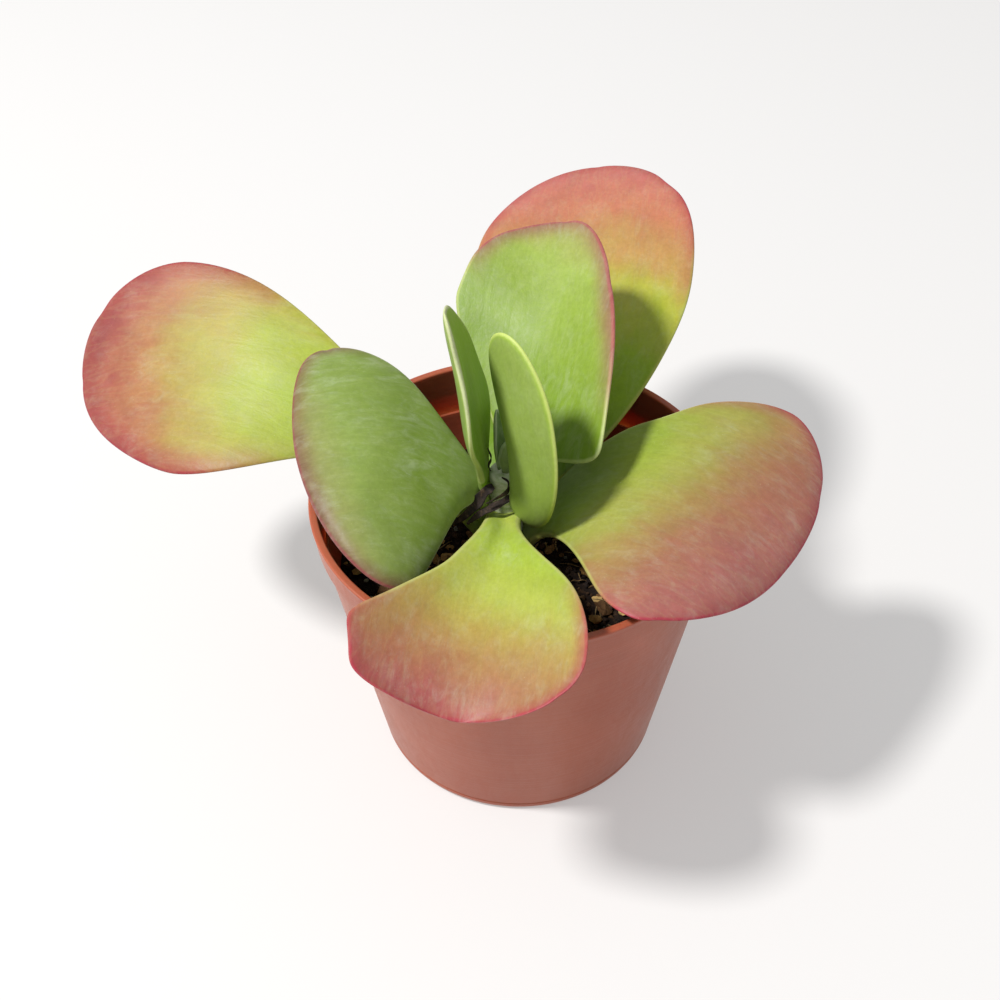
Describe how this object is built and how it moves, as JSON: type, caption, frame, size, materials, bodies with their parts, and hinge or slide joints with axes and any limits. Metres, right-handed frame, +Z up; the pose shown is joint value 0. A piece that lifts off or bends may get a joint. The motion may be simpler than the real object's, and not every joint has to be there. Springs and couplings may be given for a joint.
{
  "type": "potted paddle-leaf kalanchoe",
  "caption": "Young paddle-leaved succulent in a round tapered nursery pot: broad fleshy leaves in opposite pairs on a short stem, rooted in dark bark soil.",
  "frame": {"origin": "centre of the pot's underside, on the surface that it stands on", "axes": "+Z up along the pot's axis, +X to the plant's right and +Y to its back, seen from the front"},
  "size_m": [0.224, 0.2325, 0.1587],
  "materials": {
    "terracotta_plastic": "satin moulded plastic",
    "potting_soil": "moist peat and bark, matte",
    "stem_skin": "smooth pale green skin",
    "leaf_skin": "waxy satin with a whitish bloom",
    "bud_skin": "waxy satin",
    "withered_skin": "dry and matte"
  },
  "bodies": {
    "root": {"pot": "terracotta_plastic", "soil": "potting_soil", "stem": "stem_skin", "leaf_left_low": "leaf_skin", "leaf_right_low": "leaf_skin", "leaf_front": "leaf_skin", "leaf_back": "leaf_skin", "leaf_left_mid": "leaf_skin", "leaf_right_mid": "leaf_skin", "leaf_inner_left": "leaf_skin", "leaf_inner_right": "leaf_skin", "bud_leaf_back": "bud_skin", "bud_leaf_front": "bud_skin", "withered_strip_left": "withered_skin", "withered_strip_right": "withered_skin"}
  },
  "joints": []
}
